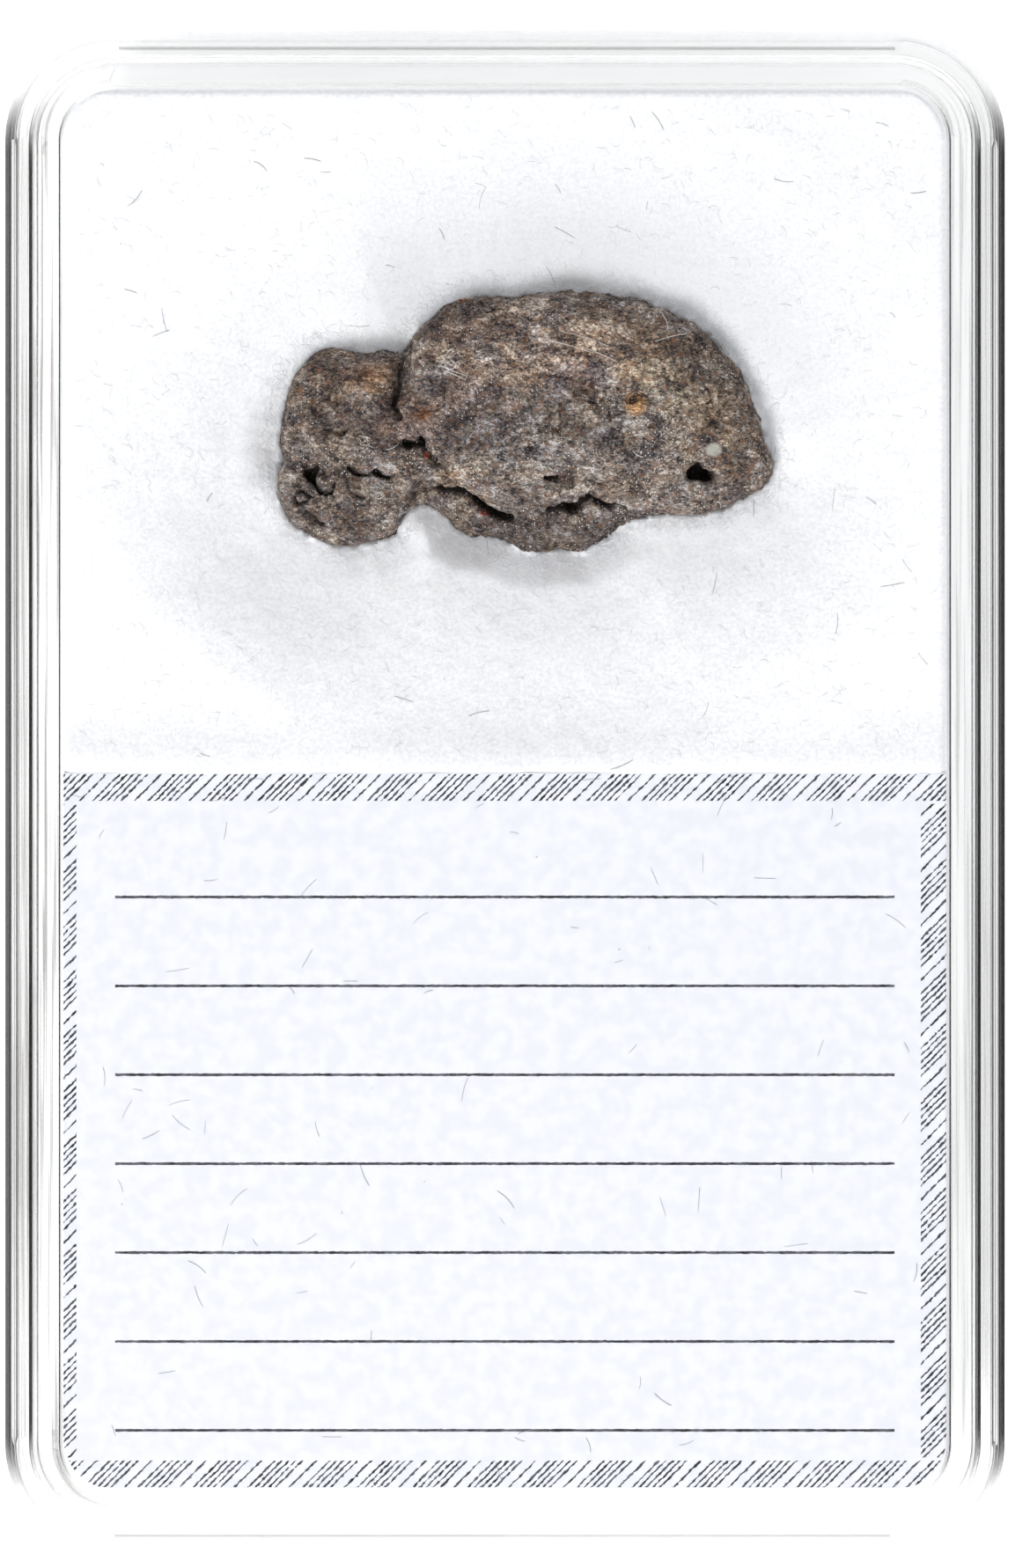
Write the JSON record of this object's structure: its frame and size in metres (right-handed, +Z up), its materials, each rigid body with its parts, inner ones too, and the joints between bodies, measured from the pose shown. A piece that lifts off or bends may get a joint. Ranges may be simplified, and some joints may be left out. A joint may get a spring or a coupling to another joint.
{
  "type": "lunar meteorite in a clear specimen box",
  "caption": "Small rough brown-grey stone on a white foam pad with a plain bordered card, in a clear lidded specimen box.",
  "frame": {"origin": "centre of the box's footprint, at the height of the surface that it stands on", "axes": "+Z up through the lid, +Y along the box from the card towards the stone, +X to the right of the card"},
  "size_m": [0.04, 0.061, 0.018],
  "materials": {
    "clear_plastic": "gloss",
    "foam": "matte",
    "card": "matte",
    "stone": "matte"
  },
  "bodies": {
    "root": {"base_tray": "clear_plastic", "lid": "clear_plastic", "foam_pad": "foam", "label_card": "card", "meteorite": "stone"}
  },
  "joints": []
}
